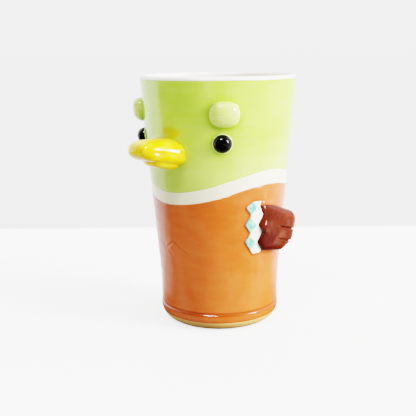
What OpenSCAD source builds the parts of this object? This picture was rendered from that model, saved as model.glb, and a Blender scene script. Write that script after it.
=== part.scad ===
// Duck tumbler: a thrown stoneware drinking cup glazed as a mallard, with a bill, eyes, brow bumps,
// wings and wing tiles pressed onto its wall before firing.
// +Z is up, the foot stands on z = 0, the bill points to -Y and the bird's left wing is on +X.

/* [Cup] */
// Height of the rim's crest above the table
height = 140; // [130:1:150]
// Outer radius at the rim, glaze included
rim_r = 44; // [42:0.5:46]
// Outer radius where the straight wall starts, glaze included
shoulder_r = 34.4; // [34:0.1:35]
// Height where the straight wall starts
shoulder_z = 30; // [25:1:35]
// Outer radius just above the groove, glaze included
waist_r = 33.6; // [33.2:0.1:33.9]
// Thickness of the clay wall
clay_t = 3; // [2.6:0.1:3.4]
// Thickness of the clay floor
floor_t = 6; // [5:0.5:7]
// Radius of the fillet between the floor and the wall, inside
fillet_r = 8; // [6:0.5:9]

/* [Foot] */
// Height of the groove above the rolled foot
groove_z = 10; // [9.5:0.1:11]
// Radius of the groove's own section
groove_r = 0.5; // [0.3:0.1:0.7]
// Radius of the foot roll's section, in clay
roll_r = 8.5; // [8.4:0.1:8.8]
// Radius of the circle that the foot roll's centre follows
roll_ring_r = 25.2; // [24.8:0.1:25.6]
// Height of the foot roll's centre
roll_z = 8.2; // [8:0.1:8.3]

/* [Glaze] */
// Thickness of a fired coat
glaze_t = 0.4; // [0.3:0.05:0.5]
// Height where the breast glaze stops above the bare foot
bare_z = 5; // [3:0.5:6]
// Highest point of the breast glaze, under the wings
breast_high_z = 82.1; // [80:0.1:84]
// How far the breast glaze dips at the front and back
breast_dip = 10.8; // [8:0.2:12]
// Highest point of the cream neck ring, under the wings
neck_high_z = 89.9; // [88:0.1:92]
// How far the neck ring's top dips at the front and back
neck_dip = 11.8; // [9:0.2:12]

/* [Face] */
// Angle of each eye from the bill
eye_angle = 47; // [42:1:52]
// Height of the eyes' centres
eye_z = 105.7; // [103:0.1:108]
// Radius of an eye
eye_r = 5; // [4.5:0.1:5.5]
// How far the front of an eye stands off the wall
eye_proud = 5; // [4:0.1:6]
// Angle of each brow bump from the bill
brow_angle = 48; // [44:1:52]
// Height of the brow bumps' centres
brow_z = 121.5; // [119:0.5:124]
// Width of a brow bump
brow_w = 16.4; // [14:0.2:18]
// Height of a brow bump
brow_h = 13.8; // [12:0.2:15]
// How far a brow bump stands off the wall
brow_proud = 6; // [5:0.2:7]
// Radius of a brow bump's edges
brow_edge_r = 4.6; // [4:0.2:5]

/* [Bill] */
// Distance from the cup's axis to the upper bill's tip
bill_reach = 62; // [58:0.5:65]
// Width of the upper bill at the wall
bill_root_w = 27; // [24:0.5:28]
// Width of the upper bill near its tip
bill_tip_w = 19; // [16:0.5:21]
// Height of the upper bill's middle line
bill_z = 101.5; // [101:0.1:103]
// Thickness of the upper bill's edges
bill_t = 9; // [8:0.2:9.4]
// How far the upper bill's root rises above its edges
bill_crown = 2; // [1:0.2:3]
// Distance from the cup's axis to the lower bill's tip
jaw_reach = 52.5; // [50:0.5:55]
// Width of the lower bill at the wall
jaw_root_w = 18; // [16:0.5:20]
// Width of the lower bill near its tip
jaw_tip_w = 10; // [8:0.5:12]
// Height of the lower bill's middle line
jaw_z = 94.2; // [93:0.1:94.5]
// Thickness of the lower bill
jaw_t = 4.8; // [4:0.1:5]
// How far the corners of a bill's tip lie behind its middle
tip_round = 3.5; // [2:0.5:4]

/* [Wings] */
// Heights of the three feather lobes at the front of the wing, top to bottom
lobe_root_z = [66, 57.6, 49.4]; // [48:0.1:67]
// Heights of the lobes' back ends
lobe_end_z = [59.5, 51.2, 45.8]; // [45:0.1:60]
// How far the lobes reach back past the front of the wing
lobe_reach = [26, 23, 20]; // [19:0.5:27]
// Radii of the lobes' back ends
lobe_r = [5.8, 4.4, 3.8]; // [3.6:0.1:6]
// Radius of every lobe's front
lobe_root_r = 5.4; // [5:0.1:5.6]
// Distance from the cup's middle plane to the wing's outer face
wing_x = 42; // [41.5:0.1:42.5]
// How far forward of the cup's middle plane the wing starts
wing_front = 3.4; // [3:0.1:3.6]

/* [Wing tiles] */
// Height of the topmost forward point of the zigzag
zig_top_z = 71.3; // [70:0.1:72]
// Height of one zig and zag
zig_pitch = 10.2; // [9.6:0.1:10.4]
// How far the zigzag's forward points lie from the middle plane
zig_front = 14.4; // [14:0.1:15]
// How deep the zigzag cuts in and out
zig_depth = 3; // [2:0.1:4]
// Width of the zigzag band
zig_w = 7.6; // [7:0.1:8]
// How far the band's top end rises above the topmost forward point
zig_crown = 3; // [2:0.1:4]
// How far the band's bottom end drops below the lowest notch
zig_tail = 1.4; // [1:0.1:3]
// How far the band stands off the glaze
tile_t = 1; // [0.6:0.1:1.2]

/* [Hidden] */
curve_fn = 96;
hull_fn = 32;
zig_count = 3;
rim_z = height - glaze_t - clay_t / 2;
rim_mid_r = rim_r - glaze_t - clay_t / 2;
past_r = 2 * rim_r;
function between(z, z0, r0, z1, r1) = r0 + (r1 - r0) * (z - z0) / (z1 - z0);
// Radius of the glazed wall at any height above the groove
function wall_r(z) = z < shoulder_z
    ? between(z, groove_z, waist_r, shoulder_z, shoulder_r)
    : between(z, shoulder_z, shoulder_r, rim_z, rim_r);

module turned(points) {
    rotate_extrude($fn = curve_fn) polygon(points);
}

module ring(ring_r, z, section_r) {
    rotate_extrude($fn = curve_fn) translate([ring_r, z]) circle(r = section_r, $fn = curve_fn);
}

// The cup filled solid, grown by t from the clay's surface, without its rounded rim
module envelope(t) {
    grow = t - glaze_t;
    turned([[0, groove_z], [waist_r + grow, groove_z], [shoulder_r + grow, shoulder_z],
        [rim_r + grow, rim_z], [0, rim_z]]);
    cylinder(r = roll_ring_r, h = groove_z, $fn = curve_fn);
    intersection() {
        ring(roll_ring_r, roll_z, roll_r + t);
        cylinder(r = past_r, h = groove_z, $fn = curve_fn);
    }
}

// The upper half of the rim's round, grown by t from the clay
module rim_round(t) {
    intersection() {
        ring(rim_mid_r, rim_z, clay_t / 2 + t);
        translate([0, 0, rim_z]) cylinder(r = past_r, h = height, $fn = curve_fn);
    }
}

// The space inside the cup, shrunk by t from the clay's inner surface
module hollow(t) {
    inset = glaze_t + clay_t + t;
    bend_z = floor_t + fillet_r;
    bend_r = wall_r(bend_z) - glaze_t - clay_t - fillet_r;
    turned([[0, bend_z], [wall_r(bend_z) - inset, bend_z], [shoulder_r - inset, shoulder_z],
        [rim_r - inset, rim_z], [0, rim_z]]);
    ring(bend_r, bend_z, fillet_r - t);
    translate([0, 0, floor_t + t]) cylinder(r = bend_r, h = fillet_r, $fn = curve_fn);
}

module clay_solid() {
    difference() {
        union() {
            envelope(0);
            rim_round(0);
        }
        hollow(0);
        ring(roll_ring_r + roll_r + groove_r / 2, groove_z, groove_r);
    }
}

// Everything below a glaze line that is highest at the sides and dips by drop at front and back
module below_wave(high_z, drop) {
    side_r = wall_r(high_z);
    wave_r = (side_r * side_r + drop * drop) / (2 * drop);
    translate([-past_r, 0, high_z - wave_r]) rotate([0, 90, 0])
        cylinder(r = wave_r, h = 2 * past_r, $fn = 2 * curve_fn);
}

// The outer coat over its whole height, from the bare foot to the rim
module outer_coat() {
    difference() {
        envelope(glaze_t);
        envelope(0);
        translate([0, 0, -1]) cylinder(r = past_r, h = bare_z + 1, $fn = curve_fn);
    }
}

// A piece that is pressed onto the wall: its children, cut back to the glazed surface
module pressed_on() {
    difference() {
        children();
        envelope(glaze_t);
    }
}

module at_wall(angle, z, out) {
    rotate([0, 0, angle]) translate([0, -out, z]) children();
}

module clay_body() {
    color([0.9, 0.86, 0.75]) clay_solid();
}

module liner_glaze() {
    color([0.96, 0.94, 0.86]) difference() {
        union() {
            hollow(0);
            rim_round(glaze_t);
        }
        hollow(glaze_t);
        rim_round(0);
    }
}

module head_glaze() {
    color([0.78, 0.86, 0.4]) difference() {
        outer_coat();
        below_wave(neck_high_z, neck_dip);
    }
}

module neck_ring() {
    color([0.96, 0.94, 0.88]) difference() {
        intersection() {
            outer_coat();
            below_wave(neck_high_z, neck_dip);
        }
        below_wave(breast_high_z, breast_dip);
    }
}

module breast_glaze() {
    color([0.84, 0.48, 0.2]) intersection() {
        outer_coat();
        below_wave(breast_high_z, breast_dip);
    }
}

// A flattened tongue with round edges, wide at the wall, with a rounded and narrower tip
module tongue(root_w, tip_w, reach, z, t, crown) {
    root_y = wall_r(z) - 3;
    tip_y = reach - t / 2;
    pressed_on() hull() {
        translate([0, -root_y, z + crown]) sphere(r = t / 2, $fn = hull_fn);
        translate([0, -tip_y, z]) sphere(r = t / 2, $fn = hull_fn);
        for (side = [-1, 1]) {
            translate([side * (root_w - t) / 2, -root_y, z]) sphere(r = t / 2, $fn = hull_fn);
            translate([side * (tip_w - t) / 2, tip_round - tip_y, z])
                sphere(r = t / 2, $fn = hull_fn);
        }
    }
}

module upper_bill() {
    color([1, 0.85, 0.05])
        tongue(bill_root_w, bill_tip_w, bill_reach, bill_z, bill_t, bill_crown);
}

module lower_bill() {
    color([1, 0.8, 0.05]) tongue(jaw_root_w, jaw_tip_w, jaw_reach, jaw_z, jaw_t, 0);
}

module eye(angle) {
    out = wall_r(eye_z) + eye_proud - eye_r;
    color([0.04, 0.04, 0.05]) pressed_on()
        at_wall(angle, eye_z, out) sphere(r = eye_r, $fn = curve_fn);
}

module left_eye() {
    eye(eye_angle);
}

module right_eye() {
    eye(-eye_angle);
}

// A slab with round edges of radius r, standing in the XZ plane
module pillow(w, h, r) {
    span_x = w - 2 * r;
    span_z = h - 2 * r;
    cube([span_x, 2 * r, span_z], center = true);
    for (up = [-1, 1]) {
        translate([0, 0, up * span_z / 2]) rotate([0, 90, 0])
            cylinder(r = r, h = span_x, center = true, $fn = curve_fn);
    }
    for (across = [-1, 1]) {
        translate([across * span_x / 2, 0, 0])
            cylinder(r = r, h = span_z, center = true, $fn = curve_fn);
        for (up = [-1, 1]) {
            translate([across * span_x / 2, 0, up * span_z / 2]) sphere(r = r, $fn = curve_fn);
        }
    }
}

module brow(angle) {
    out = wall_r(brow_z) + brow_proud - brow_edge_r;
    color([0.84, 0.9, 0.55]) pressed_on()
        at_wall(angle, brow_z, out) pillow(brow_w, brow_h, brow_edge_r);
}

module left_brow() {
    brow(brow_angle);
}

module right_brow() {
    brow(-brow_angle);
}

// One feather lobe: a tall front on the wall, a round back end and a filling behind that end
module feather_lobe(root_z, end_z, reach, end_r) {
    front_y = lobe_root_r - wing_front;
    end_y = reach - wing_front - end_r;
    hull() {
        translate([wall_r(root_z) - 2, front_y, root_z]) sphere(r = lobe_root_r, $fn = hull_fn);
        translate([wing_x - end_r, end_y, end_z]) sphere(r = end_r, $fn = hull_fn);
        translate([wing_x - 2.2 * end_r, end_y + end_r / 2, end_z])
            sphere(r = end_r, $fn = hull_fn);
    }
}

module left_wing() {
    color([0.5, 0.17, 0.08]) pressed_on() {
        for (i = [0:2]) {
            feather_lobe(lobe_root_z[i], lobe_end_z[i], lobe_reach[i], lobe_r[i]);
        }
    }
}

module right_wing() {
    mirror([1, 0, 0]) left_wing();
}

// The layer that the wing tiles lie in, seen through an outline drawn in Y and Z
module tile_layer() {
    difference() {
        intersection() {
            rotate([90, 0, 90]) linear_extrude(height = past_r) children();
            envelope(glaze_t + tile_t);
        }
        envelope(glaze_t);
    }
}

// The band's outline: forward points and notches alternate down its front edge and up its back edge
function zig_y(i) = -zig_front + zig_depth * (i % 2);
function zig_z(i) = zig_top_z - i * zig_pitch / 2;
module zig_outline() {
    steps = 2 * zig_count;
    front = [for (i = [0:steps - 1]) [zig_y(i), zig_z(i)]];
    back = [for (i = [steps - 1:-1:0]) [zig_y(i) + zig_w, zig_z(i)]];
    crown = [zig_y(1) + zig_w / 2, zig_top_z + zig_crown];
    tail = [zig_y(0) + zig_w / 2, zig_z(steps - 1) - zig_tail];
    polygon(concat([crown], front, [tail], back));
}

module diamonds_outline() {
    for (i = [0:zig_count - 1]) {
        y = zig_y(2 * i);
        z = zig_z(2 * i);
        polygon([[y, z], [y + zig_w / 4, z + zig_pitch / 3], [y + zig_w / 2, z],
            [y + zig_w / 4, z - zig_pitch / 3]]);
    }
}

module left_wing_bar() {
    color([0.97, 0.96, 0.92]) tile_layer() difference() {
        zig_outline();
        diamonds_outline();
    }
}

module right_wing_bar() {
    mirror([1, 0, 0]) left_wing_bar();
}

module left_wing_diamonds() {
    color([0.6, 0.87, 0.84]) tile_layer() intersection() {
        zig_outline();
        diamonds_outline();
    }
}

module right_wing_diamonds() {
    mirror([1, 0, 0]) left_wing_diamonds();
}

clay_body();
liner_glaze();
head_glaze();
neck_ring();
breast_glaze();
upper_bill();
lower_bill();
left_eye();
right_eye();
left_brow();
right_brow();
left_wing();
right_wing();
left_wing_bar();
right_wing_bar();
left_wing_diamonds();
right_wing_diamonds();
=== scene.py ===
"""Duck tumbler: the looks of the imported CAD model, built around its frame.

Lengths are millimetres of the design, and MM turns them into the frame's metres. psi is the angle
round the cup from the bill towards the bird's left wing, in radians, and z is the height above the
table. Wall coordinates are (s, z, h): s along the wall, z up and h out of the glazed surface.
"""
import math

import bpy
import numpy as np
from mathutils import Matrix, Vector


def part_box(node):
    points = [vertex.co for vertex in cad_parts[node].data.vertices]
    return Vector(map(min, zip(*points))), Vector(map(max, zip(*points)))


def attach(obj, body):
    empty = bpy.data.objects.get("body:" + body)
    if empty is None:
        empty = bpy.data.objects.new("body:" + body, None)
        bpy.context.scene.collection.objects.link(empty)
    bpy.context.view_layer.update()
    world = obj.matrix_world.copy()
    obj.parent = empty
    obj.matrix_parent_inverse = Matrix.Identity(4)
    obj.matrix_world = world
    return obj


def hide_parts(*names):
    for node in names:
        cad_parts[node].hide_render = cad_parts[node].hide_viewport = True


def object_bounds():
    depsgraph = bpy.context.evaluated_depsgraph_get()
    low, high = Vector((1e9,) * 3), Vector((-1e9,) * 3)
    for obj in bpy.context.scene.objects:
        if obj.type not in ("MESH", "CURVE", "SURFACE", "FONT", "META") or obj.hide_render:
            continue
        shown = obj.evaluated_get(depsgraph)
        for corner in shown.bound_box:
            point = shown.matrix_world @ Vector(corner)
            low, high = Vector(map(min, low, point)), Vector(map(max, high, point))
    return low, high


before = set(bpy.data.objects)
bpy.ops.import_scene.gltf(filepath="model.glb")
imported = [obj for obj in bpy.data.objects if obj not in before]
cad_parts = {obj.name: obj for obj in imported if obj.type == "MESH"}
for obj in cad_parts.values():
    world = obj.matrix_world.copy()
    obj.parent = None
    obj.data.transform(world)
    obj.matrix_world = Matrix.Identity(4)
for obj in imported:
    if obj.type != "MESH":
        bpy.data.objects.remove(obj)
CAD_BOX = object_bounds()

# ---------------------------------------------------------------- sizes
HEIGHT = 140.0
MM = (CAD_BOX[1].z - CAD_BOX[0].z) / HEIGHT

# The cup: RIM_Z is the middle of the rounded lip, and the rolled foot is a ring of round section.
RIM_R = (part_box("liner_glaze")[1].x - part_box("liner_glaze")[0].x) / 2 / MM
CLAY_T = 3.0
GLAZE_T = 0.4
LIP_R = CLAY_T / 2 + GLAZE_T
RIM_Z = HEIGHT - LIP_R
SHOULDER_R, SHOULDER_Z = 34.4, 30.0
WAIST_R = 33.6
WAIST_FLARE, FLARE_FADE = 0.4, 2.2
GROOVE_Z, GROOVE_DEPTH, GROOVE_WIDTH = 10.0, 0.55, 0.55
ROLL_RING_R, ROLL_Z, ROLL_R = 25.2, 8.2, 8.9
BARE_Z = 5.0
FLOOR_T = 6.0
FILLET_R = 8.0
AXIS_R = 0.2

# The waving edges between the three coats, and the chevrons' corners: degrees from the bill, height.
BREAST_MID_Z, BREAST_WAVE = 76.7, 5.4
NECK_MID_Z, NECK_WAVE = 84.0, 5.9
CHEVRONS = (((-19.4, 48.6), (-12.2, 44.9), (0.1, 50.0), (8.9, 46.5), (15.3, 43.5)),
            ((-14.0, 47.6), (-7.6, 44.2), (-2.5, 42.4)))

# The face.
EYE_PSI, EYE_Z, EYE_R = math.radians(47), 105.7, 5.0
EYE_EDGE_H, EYE_EDGE_R = 0.25, 0.27
BROW_PSI, BROW_Z = math.radians(48.4), 120.9
BROW_HALF_S, BROW_HALF_Z, BROW_PROUD = 7.9, 6.8, 5.8
BILL_ROOT_Y, UPPER_TIP_Y, LOWER_TIP_Y = 38.0, 62.0, 53.5
UPPER_TIP_LENGTH, LOWER_TIP_LENGTH = 7.0, 5.5

# The wing: each feather is a round cone, given as its start and radius and its end and radius. Each
# incised line is given as its height, the y where it starts and its depth.
WING_LOBES = (((34.6, -3.2, 68.4), 5.0, (36.9, 15.2, 59.0), 6.5),
              ((35.4, -3.4, 58.2), 5.2, (37.6, 14.2, 51.2), 4.7),
              ((34.8, -3.6, 49.8), 4.6, (36.8, 8.8, 47.6), 4.4))
LOBE_MELT = 5.5
WING_FACE_X, FACE_ROUNDING = 42.9, 4.5
WING_LINES = ((58.3, 4.4, 0.9), (51.4, 3.4, 0.8))
LINE_FALL, LINE_WIDTH = 0.29, 0.42

# The zigzag band of the wing and the diamonds on it.
ZIG_PSI = math.radians(73)
ZIG_TOP_Z, ZIG_PITCH, ZIG_COUNT = 71.2, 10.15, 3
BAND_FRONT_S, FRONT_SWING = -4.3, 2.9
BAND_BACK_S, BACK_SWING = 3.8, 2.8
DIAMOND_S, DIAMOND_HALF_S, DIAMOND_HALF_Z = -1.9, 4.2, 4.7
TILE_T, TILE_EDGE_R = 0.9, 0.55

# A distance that is past every fillet, pool and line.
FAR = 9.0


# ---------------------------------------------------------------- fields
def bump_of(d, width):
    """A smooth hump: 1 where d is 0, gone a few widths away."""
    return np.exp(-np.square(d / width))


def smooth_min(a, b, k):
    """The lower of two fields, with a fillet of about k where they meet."""
    t = np.clip(0.5 + 0.5 * (b - a) / k, 0, 1)
    return b + (a - b) * t - k * t * (1 - t)


def smooth_max(a, b, k):
    return -smooth_min(-a, -b, k)


def smooth_step(low, high, x):
    t = np.clip((x - low) / (high - low), 0, 1)
    return t * t * (3 - 2 * t)


def waves(psi, z, count, seed, z_scale):
    """Slow bumps between -1 and 1 that close up round the cup."""
    draw = np.random.default_rng(seed)
    total = np.zeros(np.broadcast(psi, z).shape)
    for _ in range(count):
        turns = draw.integers(0, 5)
        total += np.sin(turns * psi + z / z_scale * draw.uniform(0.4, 1.6) + draw.uniform(0, 6.28))
    return total / count


# ---------------------------------------------------------------- the cup's wall
def straight_r(z):
    """Radius of the thrown wall without its flare, groove and foot."""
    low = WAIST_R + (SHOULDER_R - WAIST_R) * (z - GROOVE_Z) / (SHOULDER_Z - GROOVE_Z)
    high = SHOULDER_R + (RIM_R - SHOULDER_R) * (z - SHOULDER_Z) / (RIM_Z - SHOULDER_Z)
    return smooth_max(low, high, 0.3)


WING_WALL_R = straight_r(60.0)


def wall_r(z):
    """Radius of the glazed surface: wall, groove and rolled foot."""
    roll = ROLL_RING_R + np.sqrt(np.maximum(ROLL_R ** 2 - (z - ROLL_Z) ** 2, 0))
    flare = WAIST_FLARE * np.exp(-np.maximum(z - GROOVE_Z, 0) / FLARE_FADE)
    wall = straight_r(z) + flare
    above = smooth_step(GROOVE_Z - 0.2, GROOVE_Z + 0.2, z)
    groove = GROOVE_DEPTH * bump_of(z - GROOVE_Z - 0.1, GROOVE_WIDTH)
    return roll * (1 - above) + wall * above - groove


def breast_top(psi):
    """Where the amber coat ends: low at the bill and the tail, high at the wings."""
    return BREAST_MID_Z - BREAST_WAVE * np.cos(2 * psi) + 0.25 * np.sin(5 * psi + 1)


def neck_top(psi):
    """Where the cream ring ends and the green coat starts."""
    return NECK_MID_Z - NECK_WAVE * np.cos(2 * psi) + 0.2 * np.sin(4 * psi + 2)


# ---------------------------------------------------------------- the wing and its tiles
def zig(z):
    """0 at the band's forward points and 1 half way between them, with rounded turns."""
    t = ((ZIG_TOP_Z - z) / ZIG_PITCH) % 1.0
    return 0.6 * (1 - np.abs(2 * t - 1)) + 0.2 * (1 - np.cos(2 * np.pi * t))


def band_outline(s, z):
    """Distance outside the zigzag band, in wall coordinates about ZIG_PSI."""
    front = BAND_FRONT_S + FRONT_SWING * zig(z)
    back = BAND_BACK_S + BACK_SWING * zig(z)
    across = smooth_max(front - s, s - back, 0.8) * 0.86
    top = ZIG_TOP_Z + 2.5 - 0.6 * np.maximum(0.3 - s, 0)
    bottom = ZIG_TOP_Z - 2.65 * ZIG_PITCH + 1.4 * np.maximum(0.6 - s, 0)
    along = smooth_max(z - top, bottom - z, 0.8) * 0.9
    return smooth_max(across, along, 1.2)


def diamonds_outline(s, z):
    """Distance outside the turquoise diamonds on the band's forward points."""
    nearest = np.full(np.broadcast(s, z).shape, FAR)
    for i in range(ZIG_COUNT):
        middle = ZIG_TOP_Z - i * ZIG_PITCH - 0.6
        across = np.abs(s - DIAMOND_S) / DIAMOND_HALF_S
        up = np.abs(z - middle + 0.12 * s) / DIAMOND_HALF_Z
        edge = (across + up - 1) * 2.9
        nearest = np.minimum(nearest, edge)
    return nearest + 0.12 * np.sin(3.1 * z + 2 * s) + 0.1 * np.sin(5 * s)


def round_cone(x, y, z, start, start_r, end, end_r):
    """Distance outside a cone with round ends."""
    axis = np.subtract(end, start)
    rel = (x - start[0], y - start[1], z - start[2])
    t = np.clip(sum(r * a for r, a in zip(rel, axis)) / (axis @ axis), 0, 1)
    away = np.sqrt(sum((r - t * a) ** 2 for r, a in zip(rel, axis)))
    return away - start_r - (end_r - start_r) * t


def wing_field(x, y, z):
    """Distance outside the left wing: three feathers melted together, with incised lines."""
    lobes = [round_cone(x, y, z, *lobe) for lobe in WING_LOBES]
    whole = smooth_min(smooth_min(lobes[0], lobes[1], LOBE_MELT), lobes[2], LOBE_MELT)
    face = smooth_max(whole, (x - WING_FACE_X) * 0.9, FACE_ROUNDING)
    for line_z, start_y, depth in WING_LINES:
        up = z - line_z + LINE_FALL * (y - start_y)
        reach = smooth_step(start_y - 1, start_y + 5, y)
        cut = depth * reach * bump_of(up, LINE_WIDTH)
        ridge = 0.25 * reach * bump_of(up + 0.9, 0.5)
        face = face + cut - ridge
    return face + 0.1 * np.sin(0.35 * z + 1.0) * np.sin(0.3 * y + 2.0)


def chevron_distance(psi, z):
    """Distance on the wall from the nearest chevron line carved in the chest."""
    s = psi * SHOULDER_R
    nearest = np.full(np.broadcast(psi, z).shape, FAR)
    for chain in CHEVRONS:
        for (a, a_z), (b, b_z) in zip(chain, chain[1:]):
            a_s, b_s = math.radians(a) * SHOULDER_R, math.radians(b) * SHOULDER_R
            span = (b_s - a_s) ** 2 + (b_z - a_z) ** 2
            t = np.clip(((s - a_s) * (b_s - a_s) + (z - a_z) * (b_z - a_z)) / span, 0, 1)
            away = np.hypot(s - a_s - t * (b_s - a_s), z - a_z - t * (b_z - a_z))
            nearest = np.minimum(nearest, away)
    return nearest


# ---------------------------------------------------------------- mesh making
def mesh_object(name, points, faces, smooth=True, values=None):
    """Makes an object from millimetre points; values are per-point numbers for the materials."""
    mesh = bpy.data.meshes.new(name)
    mesh.from_pydata((np.asarray(points) * MM).tolist(), [], np.asarray(faces).tolist())
    for key, numbers in (values or {}).items():
        layer = mesh.attributes.new(key, "FLOAT", "POINT")
        layer.data.foreach_set("value", np.asarray(numbers, dtype=np.float32))
    mesh.polygons.foreach_set("use_smooth", [smooth] * len(mesh.polygons))
    mesh.update()
    piece = bpy.data.objects.new(name, mesh)
    bpy.context.collection.objects.link(piece)
    return piece


def around(psi, radius, z):
    """Points of the row frame at an angle, a radius and a height."""
    return np.stack([radius * np.sin(psi), -radius * np.cos(psi), z], -1)


def ring_faces(rings, spokes):
    """Quads of a closed loop of points carried round a closed ring."""
    i, j = np.meshgrid(np.arange(rings), np.arange(spokes), indexing="ij")
    a = i * spokes + j
    b = ((i + 1) % rings) * spokes + j
    c = ((i + 1) % rings) * spokes + (j + 1) % spokes
    d = i * spokes + (j + 1) % spokes
    return np.stack([a, b, c, d], -1).reshape(-1, 4)


def all_round(psi, row):
    """The same row of numbers for every psi."""
    return row[None, :] + 0 * psi[:, None]


def turned_piece(name, psi, radius, z, values=None):
    """A closed profile, given for every psi as rows of radius and z, carried round the cup."""
    points = around(psi[:, None], radius, z)
    faces = ring_faces(*radius.shape)
    flat = {key: number.reshape(-1) for key, number in (values or {}).items()}
    return mesh_object(name, points.reshape(-1, 3), faces, values=flat)


def crossing_points(grid, value, cell):
    """Which cells the zero surface crosses, and the mean of its crossings with each one's edges."""
    inside = value < 0
    shape = np.array(value.shape) - 1
    total, crossings = np.zeros((*shape, 3)), np.zeros(shape)
    edges = [((i, j, k), axis) for i in (0, 1) for j in (0, 1) for k in (0, 1)
             for axis in range(3) if not (i, j, k)[axis]]
    for a, axis in edges:
        b = tuple(1 if n == axis else a[n] for n in range(3))
        at_a = tuple(slice(a[n], a[n] + shape[n]) for n in range(3))
        at_b = tuple(slice(b[n], b[n] + shape[n]) for n in range(3))
        fa, fb = value[at_a], value[at_b]
        cut = inside[at_a] != inside[at_b]
        t = np.where(cut, fa / np.where(cut, fa - fb, 1), 0)
        for n in range(3):
            crossing = grid[n][at_a] + (t * cell if n == axis else 0)
            total[..., n] += np.where(cut, crossing, 0)
        crossings += cut
    active = crossings > 0
    return active, total[active] / crossings[active][:, None]


def crossing_quads(inside, index):
    """A quad round every grid edge that crosses the surface, facing outwards; index numbers cells."""
    shape = index.shape
    quads = []
    for axis in range(3):
        b, c = (axis + 1) % 3, (axis + 2) % 3
        near = tuple(slice(None, -1) if n == axis else slice(None) for n in range(3))
        far = tuple(slice(1, None) if n == axis else slice(None) for n in range(3))
        first = np.argwhere(inside[near] != inside[far])
        first = first[(first[:, b] > 0) & (first[:, c] > 0)]
        first = first[(first[:, b] < shape[b]) & (first[:, c] < shape[c])]
        step_b, step_c = np.eye(3, dtype=int)[b], np.eye(3, dtype=int)[c]
        ring = [first - step_b - step_c, first - step_c, first, first - step_b]
        round_edge = np.stack([index[tuple(cells.T)] for cells in ring], -1)
        outward = inside[tuple(first.T)]
        quads.append(round_edge[outward])
        quads.append(round_edge[~outward][:, ::-1])
    return np.concatenate(quads)


def surface_net(field, low, high, cell):
    """Quad mesh of the closed surface where field(x, y, z) is zero, negative being inside."""
    axes = [np.arange(low[i], high[i] + cell, cell) for i in range(3)]
    grid = np.meshgrid(*axes, indexing="ij")
    value = field(*grid)
    active, points = crossing_points(grid, value, cell)
    index = np.full(active.shape, -1)
    index[active] = np.arange(len(points))
    for _ in range(4):
        points = onto_surface(field, points)
    return points, crossing_quads(value < 0, index)


def gradient(field, points, step=0.02):
    """The field's slope at each point."""
    x, y, z = points.T
    slope = [
        field(x + step, y, z) - field(x - step, y, z),
        field(x, y + step, z) - field(x, y - step, z),
        field(x, y, z + step) - field(x, y, z - step),
    ]
    return np.stack(slope, -1) / (2 * step)


def onto_surface(field, points):
    """One Newton step towards the field's zero surface, held to a short way."""
    slope = gradient(field, points)
    size = np.maximum((slope ** 2).sum(-1), 0.05)
    step = np.clip(field(*points.T) / size, -0.3, 0.3)
    return points - slope * step[:, None]


def from_wall(points, psi, radius):
    """Wall coordinates about psi to the row frame."""
    s, z, h = points.T
    return around(psi + s / radius, wall_r(z) + h, z)


def mirrored(points, faces):
    """The same mesh on the bird's other side."""
    return points * np.array([-1, 1, 1]), faces[:, ::-1]


# ---------------------------------------------------------------- materials
GLAZE_IOR = 1.52
# Lower ones, so that the dark glazes mirror as little of the pale room as they do in the photo.
DARK_GLAZE_IOR, EYE_IOR = 1.32, 1.34


class Nodes:
    """A short way to write a node tree; place is the point or the direction that is being shaded."""

    def __init__(self, tree, place):
        self.nodes, self.links = tree.nodes, tree.links
        self.place = place

    def node(self, kind, **settings):
        made = self.nodes.new(kind)
        for key, value in settings.items():
            setattr(made, key, value)
        return made

    def feed(self, socket, value):
        if isinstance(value, bpy.types.NodeSocket):
            self.links.new(value, socket)
        else:
            socket.default_value = value

    def math(self, operation, a, b=0.0, c=0.0):
        made = self.node("ShaderNodeMath", operation=operation)
        for socket, value in zip(made.inputs, (a, b, c)):
            self.feed(socket, value)
        return made.outputs[0]

    def noise(self, size_mm, stretch=(1, 1, 1), detail=3.0, rough=0.5, warp=0.0):
        """Noise with blobs of about size_mm, longer where stretch is above 1."""
        mapping = self.node("ShaderNodeMapping")
        self.feed(mapping.inputs["Vector"], self.place)
        mapping.inputs["Scale"].default_value = [1 / (size_mm * MM * n) for n in stretch]
        made = self.node("ShaderNodeTexNoise")
        self.feed(made.inputs["Vector"], mapping.outputs[0])
        made.inputs["Scale"].default_value = 1.0
        made.inputs["Detail"].default_value = detail
        made.inputs["Roughness"].default_value = rough
        made.inputs["Distortion"].default_value = warp
        return made.outputs[0]

    def ramp(self, value, *stops):
        """Colours or greys along value: each stop is (position, colour)."""
        made = self.node("ShaderNodeValToRGB")
        line = made.color_ramp
        while len(line.elements) < len(stops):
            line.elements.new(0.5)
        for element, (position, colour) in zip(line.elements, stops):
            element.position = position
            element.color = (*colour, 1)
        self.feed(made.inputs[0], value)
        return made.outputs[0]

    def mix(self, amount, under, colour):
        """Lays some of a plain colour over what is under it."""
        made = self.node("ShaderNodeMix", data_type="RGBA")
        self.feed(made.inputs[0], amount)
        self.feed(made.inputs[6], under)
        self.feed(made.inputs[7], (*colour, 1))
        return made.outputs[2]

    def stored(self, name):
        """The number that the mesh stores for each point under this name."""
        return self.node("ShaderNodeAttribute", attribute_name=name).outputs["Fac"]


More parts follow.
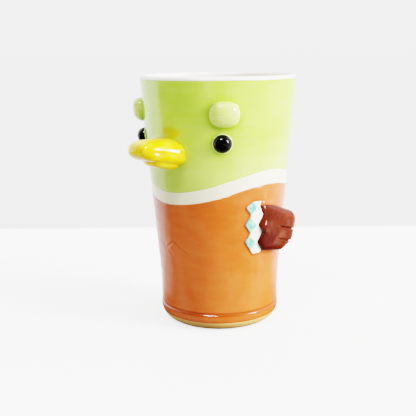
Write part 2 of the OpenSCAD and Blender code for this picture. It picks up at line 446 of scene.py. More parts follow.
class Shader(Nodes):
    """The node tree of a new material."""

    def __init__(self, name):
        self.material = bpy.data.materials.new(name)
        self.material.use_nodes = True
        tree = self.material.node_tree
        super().__init__(tree, tree.nodes.new("ShaderNodeTexCoord").outputs["Object"])
        self.surface = self.nodes["Principled BSDF"]

    def bump(self, height, depth_mm, strength):
        made = self.node("ShaderNodeBump")
        made.inputs["Strength"].default_value = strength
        made.inputs["Distance"].default_value = depth_mm * MM
        self.feed(made.inputs["Height"], height)
        self.links.new(made.outputs[0], self.surface.inputs["Normal"])

    def finish(self, colour, roughness, ior=GLAZE_IOR):
        self.feed(self.surface.inputs["Base Color"], colour)
        self.feed(self.surface.inputs["Roughness"], roughness)
        self.surface.inputs["IOR"].default_value = ior
        return self.material


def srgb(r, g, b):
    """A linear colour from the 0 to 255 values that a screen shows."""
    return tuple(((n / 255 + 0.055) / 1.055) ** 2.4 if n > 10 else n / 3294 for n in (r, g, b))


def grey(value):
    return (value, value, value)


def glaze_gloss(shader, low=0.06, high=0.16):
    """The roughness of fired glaze: mostly even, a little duller in patches."""
    return shader.ramp(shader.noise(6, detail=4), (0.3, grey(low)), (0.8, grey(high)))


def ripples(shader):
    """Bumps of the large coats: long waves, 20 times as high as the fine dimples on them."""
    swells, dimples = shader.noise(11, detail=2), shader.noise(1.6, detail=4)
    shader.bump(shader.math("MULTIPLY_ADD", swells, 20.0, dimples), 0.05, 0.4)


def head_material():
    s = Shader("green_glaze")
    cloud = s.noise(26, (1, 1, 1.3), detail=2, warp=0.6)
    wash = s.ramp(cloud, (0.3, srgb(170, 210, 66)), (0.5, srgb(182, 218, 80)),
                  (0.68, srgb(196, 222, 98)))
    strokes = s.noise(5, (3.2, 3.2, 0.5), detail=4)
    brushed = s.mix(s.ramp(strokes, (0.42, grey(0)), (0.8, grey(0.18))), wash, srgb(205, 226, 118))
    thinned = s.mix(s.math("MULTIPLY", s.stored("thin"), 0.24), brushed, srgb(222, 224, 142))
    pooled = s.mix(s.stored("pool"), thinned, srgb(132, 170, 18))
    # Olive yellow by the bill: partly pooled glaze, partly a painted reflection of the yellow bill.
    yellowed = s.mix(s.stored("stain"), pooled, srgb(192, 186, 8))
    ripples(s)
    return s.finish(yellowed, glaze_gloss(s))


def neck_material():
    s = Shader("cream_slip")
    cloud = s.noise(14, detail=3)
    cream = s.ramp(cloud, (0.35, srgb(248, 240, 200)), (0.7, srgb(253, 248, 218)))
    ripples(s)
    return s.finish(cream, glaze_gloss(s))


def breast_material():
    s = Shader("amber_glaze")
    cloud = s.noise(30, (1, 1, 1.5), detail=2.5, warp=0.5)
    wash = s.ramp(cloud, (0.3, srgb(194, 84, 30)), (0.52, srgb(203, 93, 39)),
                  (0.75, srgb(211, 106, 56)))
    strokes = s.noise(5, (2.4, 2.4, 0.8), detail=5, warp=0.5)
    brushed = s.mix(s.ramp(strokes, (0.42, grey(0)), (0.85, grey(0.22))), wash, srgb(222, 132, 72))
    pooled = s.mix(s.stored("pool"), brushed, srgb(158, 58, 4))
    ripples(s)
    return s.finish(pooled, glaze_gloss(s))


def liner_material():
    s = Shader("liner_glaze_look")
    # Painted shade: the liner is tan further inside the cup and white at the lip.
    cloud = s.noise(12, detail=4)
    cream = s.ramp(cloud, (0.3, srgb(230, 214, 180)), (0.7, srgb(240, 228, 200)))
    white_lip_shaded_inside = s.mix(s.stored("lip"), cream, srgb(254, 250, 238))
    s.bump(s.noise(2, (1, 1, 0.5), detail=3), 0.06, 0.4)
    return s.finish(white_lip_shaded_inside, glaze_gloss(s))


def clay_material():
    s = Shader("bare_stoneware")
    grain = s.noise(0.5, detail=6, rough=0.65)
    warm = s.ramp(grain, (0.35, srgb(226, 160, 84)), (0.6, srgb(240, 182, 106)),
                  (0.8, srgb(248, 206, 136)))
    s.bump(grain, 0.12, 0.6)
    return s.finish(warm, s.ramp(grain, (0.3, grey(0.6)), (0.7, grey(0.8))))


def bill_material():
    s = Shader("yellow_glaze")
    along = s.noise(3, (0.6, 3.5, 0.6), detail=4)
    streaks = s.ramp(along, (0.3, srgb(240, 176, 0)), (0.5, srgb(250, 208, 2)),
                     (0.72, srgb(252, 226, 60)))
    # Darker orange: glaze pooled in the tip's groove, and painted shade on the underside.
    wash = s.mix(s.stored("pool"), streaks, srgb(206, 128, 0))
    s.bump(s.noise(4.5, (0.8, 1.8, 0.8), detail=3), 0.55, 0.4)
    return s.finish(wash, glaze_gloss(s, 0.05, 0.12))


def eye_material():
    s = Shader("black_glaze")
    tint = s.ramp(s.noise(2, detail=3), (0.3, grey(0.0004)), (0.8, (0.0012, 0.001, 0.0016)))
    return s.finish(tint, s.ramp(s.noise(3), (0.3, grey(0.03)), (0.8, grey(0.07))), EYE_IOR)


def eye_ring_material():
    s = Shader("clear_glaze_edge")
    tint = s.ramp(s.noise(2, detail=3), (0.3, srgb(222, 230, 150)), (0.7, srgb(246, 248, 214)))
    return s.finish(tint, glaze_gloss(s, 0.05, 0.1))


def brow_material():
    s = Shader("pale_green_glaze")
    strokes = s.noise(3, (2.5, 2.5, 0.45), detail=4)
    wash = s.ramp(strokes, (0.35, srgb(194, 214, 98)), (0.58, srgb(205, 221, 120)),
                  (0.78, srgb(218, 228, 144)))
    pooled = s.mix(s.stored("pool"), wash, srgb(150, 186, 40))
    s.bump(s.noise(1.4, detail=3), 0.05, 0.2)
    return s.finish(pooled, glaze_gloss(s, 0.03, 0.07))


def wing_material():
    s = Shader("oxblood_glaze")
    cloud = s.noise(7, detail=4, warp=0.4)
    wash = s.ramp(cloud, (0.3, srgb(80, 22, 3)), (0.55, srgb(92, 33, 6)),
                  (0.78, srgb(114, 54, 22)))
    # The stored mask darkens the wing towards its front and bottom as painted shade.
    dark = s.mix(s.stored("pool"), wash, srgb(66, 13, 1))
    s.bump(s.noise(4.5, detail=3), 0.6, 0.4)
    return s.finish(dark, glaze_gloss(s, 0.06, 0.14), DARK_GLAZE_IOR)


def bar_material():
    s = Shader("white_slip")
    tint = s.ramp(s.noise(2, detail=4), (0.3, srgb(246, 236, 212)), (0.7, srgb(253, 250, 230)))
    s.bump(s.noise(1, detail=4), 0.05, 0.4)
    return s.finish(tint, glaze_gloss(s))


def diamond_material():
    s = Shader("turquoise_wash")
    water = s.noise(2.4, (1, 1, 1.6), detail=3, warp=0.8)
    tint = s.ramp(water, (0.32, srgb(76, 162, 146)), (0.5, srgb(112, 194, 176)),
                  (0.7, srgb(196, 232, 214)))
    s.bump(s.noise(1, detail=3), 0.04, 0.3)
    return s.finish(tint, glaze_gloss(s))


# ---------------------------------------------------------------- pieces
def place(piece, material, slot, *nodes):
    """Gives a piece its material and its body, and hides the frame's nodes that it stands for. The slot
    is not used.
    """
    piece.data.materials.append(material)
    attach(piece, "root")
    if nodes:
        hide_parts(*nodes)


def oval(psi, z, centre_psi, centre_z, half_s, half_z, power=2.0):
    """Distance outside a rounded oval on the wall, about in millimetres; negative inside."""
    s = np.abs((psi - centre_psi) * straight_r(centre_z)) / half_s
    t = np.abs(z - centre_z) / half_z
    norm = (s ** power + t ** power) ** (1 / power)
    return (norm - 1) * (half_s + half_z) / 2


# Where the brow, the eye and the bill meet the green coat: an oval's place, half sizes and power, then
# the coat's rise towards it with its reach, and the pool of glaze round it with its reach.
FACE_OVALS = ((BROW_PSI, BROW_Z, 7.7, 6.6, 2.4, 0.5, 1.3, 0.8, 2.2),
              (EYE_PSI, EYE_Z, EYE_R, EYE_R, 2.0, 0.4, 0.8, 0.5, 1.6),
              (0.0, 99.7, 13.4, 8.4, 2.2, 0.9, 1.5, 0.5, 2.4))
# Where the yellow patch by the bill lies: partly pooled glaze, partly a painted reflection of the bill.
YELLOW_PATCH_PSI, YELLOW_PATCH_HALF_PSI = math.radians(6.5), math.radians(8)
YELLOW_PATCH_Z, YELLOW_PATCH_HALF_Z = 110.9, 3.0


def face_swell(psi, z):
    """How far the green coat rises towards the pressed-on pieces, its pools, and its yellow patch by the
    bill, partly pooled glaze and partly a painted reflection of the bill.
    """
    side = np.abs(psi)
    rise = np.zeros(np.broadcast(psi, z).shape)
    pool = rise.copy()
    for at_psi, at_z, half_s, half_z, power, height, reach, ink, spread in FACE_OVALS:
        d = np.maximum(oval(side, z, at_psi, at_z, half_s, half_z, power), 0)
        below = smooth_step(-half_z, half_z, at_z - z)
        rise += height * bump_of(d, reach)
        pool += ink * bump_of(d, spread) * (0.45 + 0.55 * below)
    # The yellow patch above the bill and the ring round its root: partly pooled glaze, partly a painted
    # reflection of the yellow bill.
    patch = np.hypot((psi - YELLOW_PATCH_PSI) / YELLOW_PATCH_HALF_PSI, (z - YELLOW_PATCH_Z) / YELLOW_PATCH_HALF_Z)
    around_bill = np.maximum(oval(side, z, 0.0, 100.2, 13.6, 8.2, 2.2), 0)
    stain = 0.75 * smooth_step(1.25, 0.7, patch) + 0.45 * bump_of(around_bill, 1.6)
    return rise, np.clip(pool, 0, 1), np.clip(stain, 0, 1)


def throwing_marks(psi, z):
    """The faint spiral that the potter's fingers leave, and the pot's slight unevenness."""
    spiral = np.sin(z / 1.15 + psi)
    return 0.035 * spiral * (0.6 + 0.4 * waves(psi, z, 4, 3, 30)) + 0.16 * waves(psi, z, 5, 8, 45)


def coat(name, low, high, rows, spokes, surface, material, slot, node):
    """A 0.4 mm shell between two heights, each given for every psi."""
    psi = np.linspace(0, 2 * np.pi, spokes, endpoint=False)
    bottom, top = low(psi)[:, None], high(psi)[:, None]
    steps = rows(bottom, top)
    radius, values = surface(psi[:, None], steps)
    edge = np.minimum(steps - bottom, top - steps)
    outer = radius - 0.16 * np.square(np.clip(1 - edge / 0.5, 0, 1))
    every = steps.shape[1] // 12
    back = steps[:, ::-every]
    all_r = np.concatenate([outer, wall_r(back) - GLAZE_T], 1)
    all_z = np.concatenate([steps, back], 1)
    fill = {key: np.concatenate([number, number[:, ::-every]], 1) for key, number in values.items()}
    piece = turned_piece(name, psi, all_r, all_z, fill)
    place(piece, material, slot, node)


def even_rows(count):
    """Evenly spaced heights."""
    share = np.linspace(0, 1, count)[None, :]
    return lambda low, high: low + (high - low) * share


def foot_rows(fine, coarse):
    """Close rows over the rolled foot and the groove, and even ones above."""
    turn_z = GROOVE_Z + 3
    near = np.linspace(0, 1, fine, endpoint=False)[None, :]
    far = np.linspace(0, 1, coarse)[None, :]

    def rows(low, high):
        return np.concatenate([low + (turn_z - low) * near, turn_z + (high - turn_z) * far], 1)
    return rows


def from_bill(psi):
    """The angle brought to between minus and plus half a turn."""
    return (psi + np.pi) % (2 * np.pi) - np.pi


def head_surface(psi, z):
    """Radius of the green coat, and the numbers that its material reads."""
    rise, pool, stain = face_swell(from_bill(psi), z)
    lip = smooth_step(RIM_Z - 1.2, RIM_Z, z)
    radius = wall_r(z) + (throwing_marks(psi, z) + rise) * (1 - lip)
    return radius, {"pool": pool, "stain": stain, "thin": smooth_step(112, 86, z) + 0 * psi}


def neck_surface(psi, z):
    """Radius of the cream ring."""
    return wall_r(z) + throwing_marks(psi, z), {}


def breast_surface(psi, z):
    """Radius of the amber coat with its chevrons and its fillets round the wings, and its pools."""
    marks = throwing_marks(psi, z) * smooth_step(BARE_Z, GROOVE_Z + 4, z)
    line = chevron_distance(from_bill(psi), z)
    carved = 0.18 * bump_of(line, 0.7) - 0.06 * bump_of(line - 1.2, 0.6)
    side = np.abs(from_bill(psi))
    tile = np.maximum(band_outline((side - ZIG_PSI) * WING_WALL_R, z), 0)
    radius = wall_r(z) + 0 * psi
    wing = np.maximum(wing_field(radius * np.sin(side), -radius * np.cos(side), z), 0)
    fillet = 0.2 * bump_of(tile, 0.6) + 0.6 * bump_of(wing, 1.0) * smooth_step(0.4, 2.0, tile)
    pool = 1.2 * bump_of(z - GROOVE_Z + 0.2, 1.2) * (0.85 + 0.15 * np.sin(3 * psi))
    pool = pool + 0.6 * bump_of(tile - 0.3, 0.8) + 0.4 * bump_of(wing, 1.4)
    pool = pool + 0.2 * bump_of(line, 0.7)
    return wall_r(z) + marks - carved + fillet, {"pool": np.clip(pool, 0, 1)}


def constant(value):
    return lambda psi: np.full_like(psi, value)


def liner_section():
    """Radius and z of the liner's closed section: the lip, down inside to the middle, and back."""
    mid_r = RIM_R - LIP_R
    turn = np.linspace(0, np.pi, 28)
    lip_r, lip_z = mid_r + LIP_R * np.cos(turn), RIM_Z + LIP_R * np.sin(turn)
    bend_z = FLOOR_T + FILLET_R
    depth = np.linspace(RIM_Z, bend_z, 90)[1:]
    inset = CLAY_T + 2 * GLAZE_T
    wall = straight_r(depth) - inset
    bend = np.linspace(0, np.pi / 2, 16)[1:]
    bend_r = wall[-1] - FILLET_R + GLAZE_T
    fillet = FILLET_R - GLAZE_T
    curve_r, curve_z = bend_r + fillet * np.cos(bend), bend_z - fillet * np.sin(bend)
    floor_r = np.linspace(bend_r, AXIS_R, 14)[1:]
    floor_z = np.full_like(floor_r, FLOOR_T + GLAZE_T)
    back_z = np.array([60.0, 100.0])
    lip_back = np.linspace(np.pi, 0, 10)
    radius = np.concatenate([
        lip_r, wall, curve_r, floor_r, [AXIS_R, bend_r], bend_r + FILLET_R * np.cos(bend[::-1]),
        [wall[-1] + GLAZE_T], straight_r(back_z) - inset + GLAZE_T,
        mid_r + (LIP_R - GLAZE_T) * np.cos(lip_back),
    ])
    z = np.concatenate([
        lip_z, depth, curve_z, floor_z, [FLOOR_T, FLOOR_T], bend_z - FILLET_R * np.sin(bend[::-1]),
        [bend_z], back_z,
        RIM_Z + (LIP_R - GLAZE_T) * np.sin(lip_back),
    ])
    return radius, z


def liner():
    """The inside of the cup and its rounded lip."""
    psi = np.linspace(0, 2 * np.pi, 480, endpoint=False)
    radius, z = (all_round(psi, row) for row in liner_section())
    wobble = 0.12 * waves(psi[:, None], z, 4, 21, 500) * smooth_step(RIM_Z - 4, RIM_Z + 1, z)
    # The lip mask paints the liner white at the lip and, as painted shade, tan further in.
    piece = turned_piece("liner_and_lip", psi[::-1], radius[::-1], (z + wobble)[::-1],
                         {"lip": smooth_step(RIM_Z - 9, RIM_Z, z)})
    place(piece, liner_material(), "liner_glaze", "liner_glaze")


def clay_section():
    """Radius and z of the clay's closed section: the slightly hollow foot, up the wall, down inside."""
    roll_r = ROLL_R - 0.1
    turn = np.linspace(-np.arcsin(ROLL_Z / roll_r), 0.1, 30)
    foot_r = ROLL_RING_R + roll_r * np.cos(turn)
    foot_z = ROLL_Z + roll_r * np.sin(turn)
    sunk = smooth_step(BARE_Z - 0.2, BARE_Z + 0.4, foot_z) * (GLAZE_T - 0.1)
    rise = np.concatenate([np.linspace(foot_z[-1] + 0.1, GROOVE_Z + 1.5, 30),
                           np.linspace(GROOVE_Z + 2, RIM_Z, 24)])
    inset = CLAY_T + GLAZE_T
    drop = np.linspace(RIM_Z, FLOOR_T + FILLET_R, 24)
    bend = np.linspace(0.1, np.pi / 2, 14)
    corner_r = straight_r(drop[-1]) - inset - FILLET_R * (1 - np.cos(bend))
    corner_z = FLOOR_T + FILLET_R * (1 - np.sin(bend))
    radius = np.concatenate([[AXIS_R, 12, 22], foot_r - sunk, wall_r(rise) - GLAZE_T,
                             straight_r(drop) - inset, corner_r, [12, AXIS_R]])
    z = np.concatenate([[0.25, 0.25, 0.12], foot_z, rise, drop, corner_z, [FLOOR_T, FLOOR_T]])
    return radius, z


def clay():
    """The bare foot and the wall's clay, closed under the glaze."""
    psi = np.linspace(0, 2 * np.pi, 360, endpoint=False)
    radius, z = (all_round(psi, row) for row in clay_section())
    piece = turned_piece("bare_clay_body", psi, radius, z)
    place(piece, clay_material(), "bare_clay", "clay_body")


def both_sides(name, points, faces, material, slot, *nodes, values=None):
    """Makes the left piece and its mirror image, each standing for its own side's nodes."""
    for side, shape in (("left", (points, faces)), ("right", mirrored(points, faces))):
        piece = mesh_object(f"{side}_{name}", *shape, values=values)
        place(piece, material, slot, *[f"{side}_{node}" for node in nodes])


def brows():
    """The pressed-on lumps over the eyes, with glaze pooled under each."""
    def lump(s, z, h):
        a = np.abs(s / BROW_HALF_S) ** 2.5
        b = np.abs((z - BROW_Z) / BROW_HALF_Z) ** 2.5
        c = np.abs(h / BROW_PROUD) ** 2.3
        return ((a + b + c) ** (1 / 2.4) - 1) * 6
    points, faces = surface_net(lump, (-10, BROW_Z - 9, -1.2), (10, BROW_Z + 9, 7.5), 0.35)
    pool = smooth_step(3.0, 0.3, points[:, 2]) * smooth_step(4, -7, points[:, 1] - BROW_Z)
    shaped = from_wall(points, BROW_PSI, wall_r(BROW_Z))
    both_sides("brow_bump", shaped, faces, brow_material(), "brow_glaze", "brow",
               values={"pool": pool})


def eyes():
    """The black beads, and the thin pale edge of clear glaze where each meets the wall."""
    def bead(s, z, h):
        return np.sqrt(s ** 2 + (z - EYE_Z) ** 2 + h ** 2) - EYE_R

    def ring(s, z, h):
        flat = np.sqrt(s ** 2 + (z - EYE_Z) ** 2) - EYE_R
        return np.sqrt(flat ** 2 + (h - EYE_EDGE_H) ** 2) - EYE_EDGE_R
    for name, field, material, slot, *nodes in (
            ("eye_bead", bead, eye_material(), "eye_glaze", "eye"),
            ("eye_edge", ring, eye_ring_material(), "bar_glaze")):
        points, faces = surface_net(field, (-7, EYE_Z - 7, -1.5), (7, EYE_Z + 7, 6.5), 0.25)
        shaped = from_wall(points, EYE_PSI, wall_r(EYE_Z))
        both_sides(name, shaped, faces, material, slot, *nodes)


def upper_bill_field(x, y, z):
    """Distance outside a thick tongue that droops at its sides, with a shallow groove round its tip."""
    out = -y
    t = np.clip((out - BILL_ROOT_Y) / (UPPER_TIP_Y - BILL_ROOT_Y), 0, 1.1)
    half_w = 13.8 - 4.3 * smooth_step(0.05, 0.95, t)
    half_t = 7.4 - 2.6 * t
    middle_z = 100.7 + 2.4 * t
    droop = (1.2 - 0.5 * smooth_step(0.1, 0.9, t)) * np.minimum((x / half_w) ** 2, 1.4)
    up = z - middle_z + droop
    tip = np.maximum(out - (UPPER_TIP_Y - UPPER_TIP_LENGTH), 0) / UPPER_TIP_LENGTH
    body = np.abs(x / half_w) ** 3.0 + np.abs(up / half_t) ** 2.2 + tip ** 2.4
    whole = (np.maximum(body, 1e-6) ** (1 / 2.4) - 1) * half_t
    side = smooth_step(0.35, 0.8, np.maximum(np.abs(x) / half_w, tip))
    dent = 0.35 * bump_of(up - 0.05 * half_t, 1.2) * bump_of(out - 55.0, 4.0)
    return whole + side * dent


def lower_bill_field(x, y, z):
    """Distance outside a small wedge under the upper bill, thick at the wall."""
    out = -y
    t = np.clip((out - BILL_ROOT_Y) / (LOWER_TIP_Y - BILL_ROOT_Y), 0, 1.1)
    half_w = 9.6 - 2.6 * t
    half_t = 4.6 - 1.6 * t
    middle_z = 94.7 + 1.9 * t
    up = z - middle_z
    tip = np.maximum(out - (LOWER_TIP_Y - LOWER_TIP_LENGTH), 0) / LOWER_TIP_LENGTH
    body = np.abs(x / half_w) ** 2.3 + np.abs(up / half_t) ** 2.1 + tip ** 2.2
    return (np.maximum(body, 1e-6) ** (1 / 2.2) - 1) * half_t


def bill():
    """Both halves of the bill, with painted shade on the underside and glaze pooled in the groove at the
    tip.
    """
    material = bill_material()
    for name, field, low, high in (
            ("upper_bill", upper_bill_field, (-16, -64, 90), (16, -37.5, 110)),
            ("lower_bill", lower_bill_field, (-12, -56, 88), (12, -37.5, 101))):
        points, faces = surface_net(field, low, high, 0.42)
        x, y, z = points.T
        # Painted shade: the overhung underside is darkened to orange; the tip's groove holds pooled
        # glaze.
        overhung = np.clip(-field(x, y, z + 0.9) / 0.9, 0, 1)
        underside = overhung * smooth_step(104, 97, z)
        pool = 0.6 * bump_of(-y - 55, 5) * bump_of(z - 101.5, 2.6) + 0.3 * underside
        piece = mesh_object(name + "_glazed", points, faces, values={"pool": np.clip(pool, 0, 1)})
        place(piece, material, "bill_glaze", name)


def wings():
    """The wings, ending just inside the cup's wall and cut back round the zigzag band."""
    def wing(x, y, z):
        side = np.arctan2(x, -y)
        h = np.hypot(x, y) - wall_r(z)
        notch = -0.5 - band_outline((side - ZIG_PSI) * WING_WALL_R, z)
        return smooth_max(smooth_max(wing_field(x, y, z), notch, 0.5), -h - 1.2, 0.3)
    points, faces = surface_net(wing, (26, -10, 38), (47, 26, 76), 0.4)
    # Painted shade: the oxblood glaze is darkened towards the wing's front and its bottom.
    pool = smooth_step(12, -4, points[:, 1]) * (1 - 0.35 * smooth_step(50, 64, points[:, 2]))
    both_sides("wing_glazed", points, faces, wing_material(), "wing_glaze", "wing",
               values={"pool": np.clip(pool, 0, 1)})


def wing_tiles():
    """The zigzag bands with rounded edges, and the diamonds as a thin wash over them."""
    def tile(s, z, h):
        flat = band_outline(s, z) + TILE_EDGE_R
        thick = np.abs(h - 0.1) - (TILE_T - 0.1 - TILE_EDGE_R)
        outside = np.hypot(np.maximum(flat, 0), np.maximum(thick, 0))
        return outside + np.minimum(np.maximum(flat, thick), 0) - TILE_EDGE_R

    def wash(s, z, h):
        return smooth_max(tile(s, z, h) - 0.07, diamonds_outline(s, z), 0.15)
    low, high = (-6, ZIG_TOP_Z - 30, -1.0), (9, ZIG_TOP_Z + 5, 1.6)
    for name, field, material, slot, node in (
            ("wing_band", tile, bar_material(), "bar_glaze", "wing_bar"),
            ("wing_diamond_wash", wash, diamond_material(), "diamond_glaze", "wing_diamonds")):
        points, faces = surface_net(field, low, high, 0.24)
        shaped = from_wall(points, ZIG_PSI, WING_WALL_R)
        both_sides(name, shaped, faces, material, slot, node)


# ---------------------------------------------------------------- camera and light
CAMERA_AZIMUTH = 44.0
CAMERA_DISTANCE, CAMERA_HEIGHT = 429.2, 153.5
CAMERA_PITCH, CAMERA_TURN, CAMERA_ROLL = 11.85, 0.84, -0.63
CAMERA_LENS = 65.34


def around_object(azimuth, distance, height):
    """A place given in degrees from the bill's side and in millimetres, in the frame's metres."""
    a = math.radians(azimuth)
    return Vector((distance * math.sin(a), -distance * math.cos(a), height)) * MM


def camera():
    data = bpy.data.cameras.new("camera")
    data.lens = CAMERA_LENS
    data.sensor_width = 36.0
    data.clip_start, data.clip_end = 0.01, 50
    viewer = bpy.data.objects.new("camera", data)
    stand = around_object(CAMERA_AZIMUTH, CAMERA_DISTANCE, CAMERA_HEIGHT)
    turn = Matrix.Rotation(math.radians(CAMERA_AZIMUTH + CAMERA_TURN), 3, "Z")
    tilt = Matrix.Rotation(math.radians(90 - CAMERA_PITCH), 3, "X")
    roll = Matrix.Rotation(math.radians(CAMERA_ROLL), 3, "Z")
    viewer.matrix_world = Matrix.Translation(stand) @ (turn @ tilt @ roll).to_4x4()
    bpy.context.collection.objects.link(viewer)
    bpy.context.scene.camera = viewer


# The room's directions as the camera sees them.
RIGHT = around_object(CAMERA_AZIMUTH + 90, 1, 0).normalized()
LEFT = -RIGHT
AWAY = around_object(CAMERA_AZIMUTH + 180, 1, 0).normalized()

# How bright the wall and the lit table look to the camera, and the table's own part of that.
WALL_GLOW, TABLE_GLOW, TABLE_SHINE = 2.2, 4.1, 1.3
TABLE_EDGE, EDGE_BLUR = 215.0, 8

# Radiance of the room's dark side, as it lights the cup and as the glaze mirrors it, and of its pale
# side, which a direction reaches as its share away from the camera goes from PALE_FROM to PALE_TO.
DARK_LIT, DARK_MIRRORED, PALE_SIDE = 0.28, 0.13, 1.8
PALE_FROM, PALE_TO = 0.1, 0.26

# Lamps: azimuth from the camera, elevation, width and height in degrees, radiance, and how far the
# edge fades as a share of the size. A window, the wall round it and a lamp overhead light the cup;
# the glaze mirrors a darker wall, a sharper lamp and another pale wall at the back.
WINDOW = (69, 22, 13, 22, 50.0, 0.4)
LIGHTING_LAMPS = (WINDOW, (80, 27, 46, 52, 5.6, 0.8), (-25, 58, 15, 8, 32.0, 0.5))
MIRRORED_LAMPS = (WINDOW, (80, 27, 46, 52, 1.2, 0.8), (-25, 58, 15, 8, 80.0, 0.25),
                  (-118, 20, 62, 80, 0.9, 0.3))


class Glow(Nodes):
    """Node helpers for things that shine: the world and the table."""

    def along(self, direction):
        """How far the place lies in a direction."""
        made = self.node("ShaderNodeVectorMath", operation="DOT_PRODUCT")
        self.feed(made.inputs[0], self.place)
        made.inputs[1].default_value = direction
        return made.outputs["Value"]

    def step(self, value, low, high, start=0.0, end=1.0):
        """Goes smoothly from start to end as value goes from low to high."""
        made = self.node("ShaderNodeMapRange", interpolation_type="SMOOTHSTEP")
        self.feed(made.inputs["Value"], value)
        for name, number in (("From Min", low), ("From Max", high), ("To Min", start), ("To Max", end)):
            made.inputs[name].default_value = number
        return made.outputs[0]

    def between(self, direction, low, high, start=0.0, end=1.0):
        """The same from low to high millimetres in a direction."""
        return self.step(self.along(direction), low * MM, high * MM, start, end)

    def lamp(self, azimuth, elevation, width, height, radiance, soft):
        """A soft rectangle of light in the room; its azimuth is in degrees from the camera's."""
        a, e = math.radians(CAMERA_AZIMUTH + azimuth), math.radians(elevation)
        forward = Vector((math.sin(a) * math.cos(e), -math.cos(a) * math.cos(e), math.sin(e)))
        side = Vector((math.cos(a), math.sin(a), 0))
        ahead = self.math("MAXIMUM", self.along(forward), 0.001)
        total = radiance
        for axis, angle in ((side, width), (forward.cross(side), height)):
            edge = math.tan(math.radians(angle / 2))
            slope = self.math("ABSOLUTE", self.math("DIVIDE", self.along(axis), ahead))
            total = self.math("MULTIPLY", total, self.step(slope, edge, edge * (1 + soft), 1.0, 0.0))
        return total

    def room(self, dark, lamps):
        """A room that is dark at the camera's side and pale beyond the cup, with lamps in it."""
        total = self.step(self.along(AWAY), PALE_FROM, PALE_TO, dark, PALE_SIDE)
        for lamp in lamps:
            total = self.math("ADD", total, self.lamp(*lamp))
        return total

    def brightest(self, first, *others):
        for other in others:
            first = self.math("MAXIMUM", first, other)
        return first

    def choose(self, switch, off, on):
        """One value where the switch is 0 and the other where it is 1."""
        made = self.node("ShaderNodeMix", data_type="FLOAT")
        for socket, value in zip((0, 2, 3), (switch, off, on)):
            self.feed(made.inputs[socket], value)
        return made.outputs[0]


def studio_world():
    """The room that lights the cup, the one that the glaze mirrors, and the camera's plain wall."""
    world = bpy.data.worlds.new("studio")
    world.use_nodes = True
    tree = world.node_tree
    glow = Glow(tree, tree.nodes.new("ShaderNodeTexCoord").outputs["Generated"])
    rays = glow.node("ShaderNodeLightPath")
    room = glow.choose(rays.outputs["Is Glossy Ray"], glow.room(DARK_LIT, LIGHTING_LAMPS),
                       glow.room(DARK_MIRRORED, MIRRORED_LAMPS))
    shine = tree.nodes["Background"]
    shine.inputs["Color"].default_value = (1, 1, 1, 1)
    glow.feed(shine.inputs["Strength"], glow.choose(rays.outputs["Is Camera Ray"], room, WALL_GLOW))
    bpy.context.scene.world = world


def seen_table(shader, glow):
    """What the camera sees: pale paper that shines a little, with the wall's tone past its edge."""
    tint = shader.ramp(shader.noise(90, detail=2), (0.3, grey(0.86)), (0.7, grey(0.88)))
    far = glow.between(AWAY, TABLE_EDGE, TABLE_EDGE + EDGE_BLUR)
    paper = shader.mix(far, tint, grey(0.46))
    shine = glow.step(far, 0, 1, TABLE_SHINE, TABLE_SHINE * WALL_GLOW / TABLE_GLOW)
    shader.finish(paper, shader.ramp(shader.noise(20), (0.3, grey(0.6)), (0.7, grey(0.7))))
    shader.surface.inputs["Emission Color"].default_value = (1, 1, 1, 1)
    shader.feed(shader.surface.inputs["Emission Strength"], shine)


def lighting_table(glow):
    """How brightly the table lights the cup: more from behind it and from the right."""
    behind = glow.between(AWAY, -10, 70, 0.3, 1.8)
    beside = glow.between(RIGHT, 60, 170, 0.3, 2.4)
    return glow.brightest(behind, beside, 0.95)


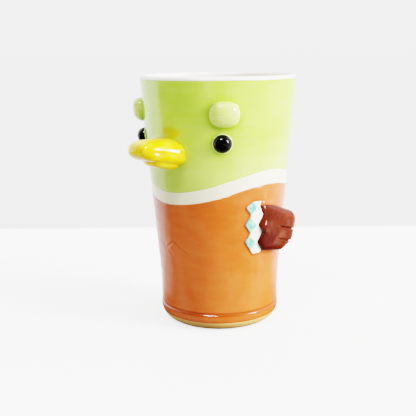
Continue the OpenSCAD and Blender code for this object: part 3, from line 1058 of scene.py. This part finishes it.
def mirrored_table(glow):
    """How bright the table is in the glaze: bright behind, at both sides and in a strip at the right."""
    behind = glow.between(AWAY, -10, 70, 0.13, 1.8)
    far_left = glow.math("MULTIPLY", glow.between(LEFT, 330, 520, 0.9, 2.7), glow.between(AWAY, 42, 66))
    left_stretch = glow.math("MULTIPLY", glow.between(LEFT, 50, 80, 0.0, 1.2),
                             glow.between(LEFT, 260, 150))
    near_left = glow.math("MULTIPLY", left_stretch, glow.between(AWAY, -30, 25))
    from_strip = glow.math("ABSOLUTE", glow.math("ADD", glow.along(AWAY), 34 * MM))
    strip = glow.step(from_strip, 6 * MM, 16 * MM, 2.2, 0.0)
    beside = glow.math("MULTIPLY", glow.math("ADD", strip, 1.1), glow.between(RIGHT, 60, 170, 0.12, 1.0))
    return glow.brightest(far_left, near_left, behind, beside)


def floor_material():
    """A table with one brightness to the camera, one as it lights the cup and one in the glaze."""
    s = Shader("pale_table")
    glow = Glow(s.material.node_tree, s.place)
    seen_table(s, glow)
    rays = s.node("ShaderNodeLightPath")
    cast_glow = glow.choose(rays.outputs["Is Glossy Ray"], lighting_table(glow), mirrored_table(glow))
    from_middle = s.node("ShaderNodeVectorMath", operation="LENGTH")
    s.feed(from_middle.inputs[0], s.place)
    clear_of_foot = glow.step(from_middle.outputs["Value"], 27.5 * MM, 46 * MM)
    cast = s.node("ShaderNodeEmission")
    s.feed(cast.inputs["Strength"], s.math("MULTIPLY", cast_glow, clear_of_foot))
    both = s.node("ShaderNodeMixShader")
    s.links.new(rays.outputs["Is Camera Ray"], both.inputs[0])
    s.links.new(cast.outputs[0], both.inputs[1])
    s.links.new(s.surface.outputs[0], both.inputs[2])
    s.links.new(both.outputs[0], s.nodes["Material Output"].inputs["Surface"])
    return s.material


def studio():
    """The table, the room's light and the look of the picture."""
    reach = 20000
    corners = [(-reach, -reach, 0), (reach, -reach, 0), (reach, reach, 0), (-reach, reach, 0)]
    floor = mesh_object("table", corners, [(0, 1, 2, 3)], smooth=False)
    floor.data.materials.append(floor_material())
    studio_world()
    bpy.context.scene.view_settings.view_transform = "Filmic"
    bpy.context.scene.view_settings.look = "High Contrast"


camera()
studio()
clay()
liner()
coat("green_head_coat", neck_top, constant(RIM_Z), even_rows(120), 640, head_surface,
     head_material(), "head_glaze", "head_glaze")
coat("cream_neck_ring", breast_top, neck_top, even_rows(18), 640, neck_surface,
     neck_material(), "neck_slip", "neck_ring")
coat("amber_breast_coat", constant(BARE_Z), breast_top, foot_rows(44, 110), 560, breast_surface,
     breast_material(), "breast_glaze", "breast_glaze")
brows()
eyes()
bill()
wings()
wing_tiles()
